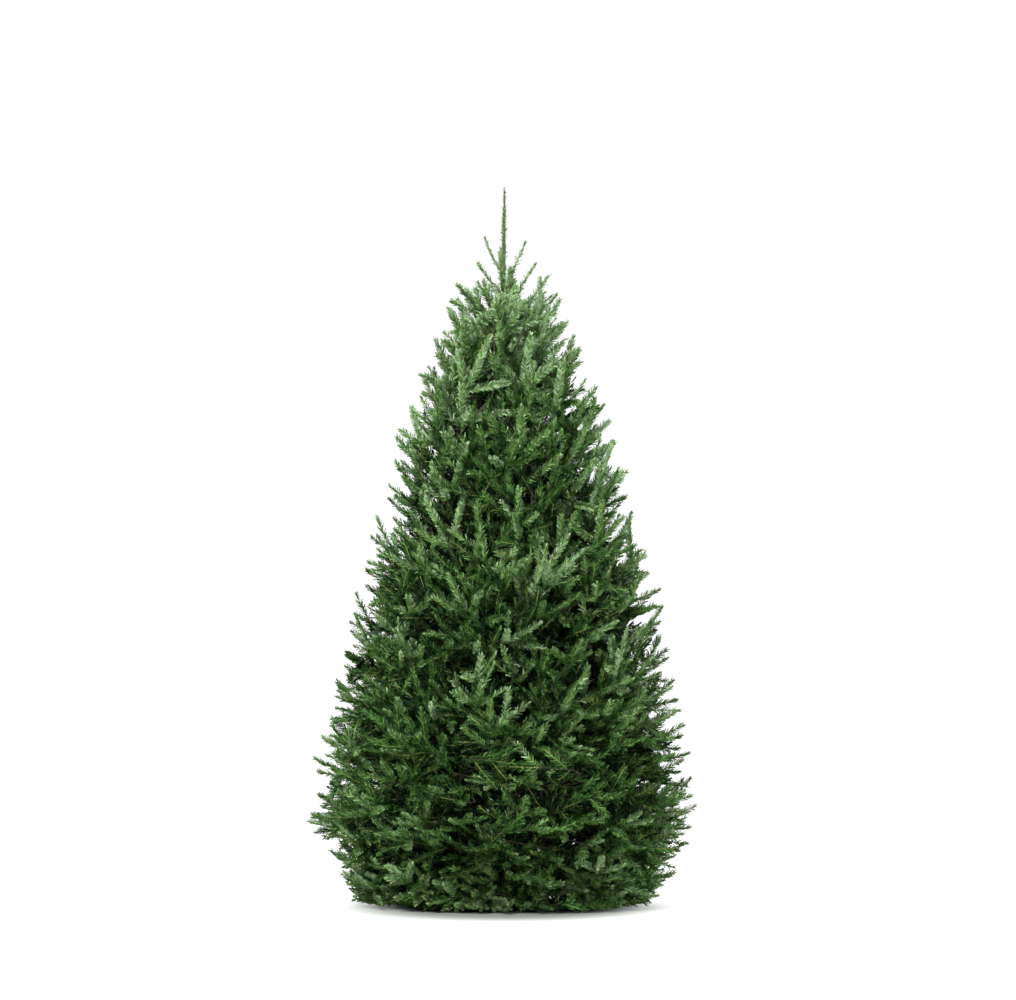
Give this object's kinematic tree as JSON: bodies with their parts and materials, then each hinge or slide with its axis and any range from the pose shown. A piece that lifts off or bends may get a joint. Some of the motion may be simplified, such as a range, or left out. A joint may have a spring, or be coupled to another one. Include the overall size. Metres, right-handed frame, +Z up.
{
  "type": "cut christmas tree",
  "caption": "Cut, undecorated fir Christmas tree: narrow sheared cone of dense needle foliage down to the floor, bare upright leader, in a plain round water stand with four legs",
  "frame": {"origin": "centre of the stand's flat underside, on the floor, under the trunk's cut end", "axes": "+Z up along the trunk, -Y toward the front, +X to the right seen from the front"},
  "size_m": [1.1199, 1.137, 2.1],
  "materials": {
    "bark": "rough grey-brown fir bark",
    "twig_bark": "matte brown twig bark",
    "needles": "matte to satin dark green needles",
    "stand_paint": "satin dark green paint",
    "screw_steel": "plain zinc-plated steel"
  },
  "bodies": {
    "root": {"trunk": "bark", "bough_skirt_1": "twig_bark", "foliage_skirt_1": "needles", "bough_skirt_2": "twig_bark", "foliage_skirt_2": "needles", "bough_skirt_3": "twig_bark", "foliage_skirt_3": "needles", "bough_skirt_4": "twig_bark", "foliage_skirt_4": "needles", "bough_skirt_5": "twig_bark", "foliage_skirt_5": "needles", "bough_skirt_6": "twig_bark", "foliage_skirt_6": "needles", "bough_low_1": "twig_bark", "foliage_low_1": "needles", "bough_low_2": "twig_bark", "foliage_low_2": "needles", "bough_low_3": "twig_bark", "foliage_low_3": "needles", "bough_low_4": "twig_bark", "foliage_low_4": "needles", "bough_low_5": "twig_bark", "foliage_low_5": "needles", "bough_low_6": "twig_bark", "foliage_low_6": "needles", "bough_middle_1": "twig_bark", "foliage_middle_1": "needles", "bough_middle_2": "twig_bark", "foliage_middle_2": "needles", "bough_middle_3": "twig_bark", "foliage_middle_3": "needles", "bough_middle_4": "twig_bark", "foliage_middle_4": "needles", "bough_middle_5": "twig_bark", "foliage_middle_5": "needles", "bough_high_1": "twig_bark", "foliage_high_1": "needles", "bough_high_2": "twig_bark", "foliage_high_2": "needles", "bough_high_3": "twig_bark", "foliage_high_3": "needles", "bough_high_4": "twig_bark", "foliage_high_4": "needles", "bough_top_1": "twig_bark", "foliage_top_1": "needles", "bough_top_2": "twig_bark", "foliage_top_2": "needles", "bough_top_3": "twig_bark", "foliage_top_3": "needles", "foliage_leader": "needles", "stand_basin": "stand_paint", "stand_leg_1": "stand_paint", "stand_screw_1": "screw_steel", "stand_leg_2": "stand_paint", "stand_screw_2": "screw_steel", "stand_leg_3": "stand_paint", "stand_screw_3": "screw_steel", "stand_leg_4": "stand_paint", "stand_screw_4": "screw_steel"}
  },
  "joints": []
}
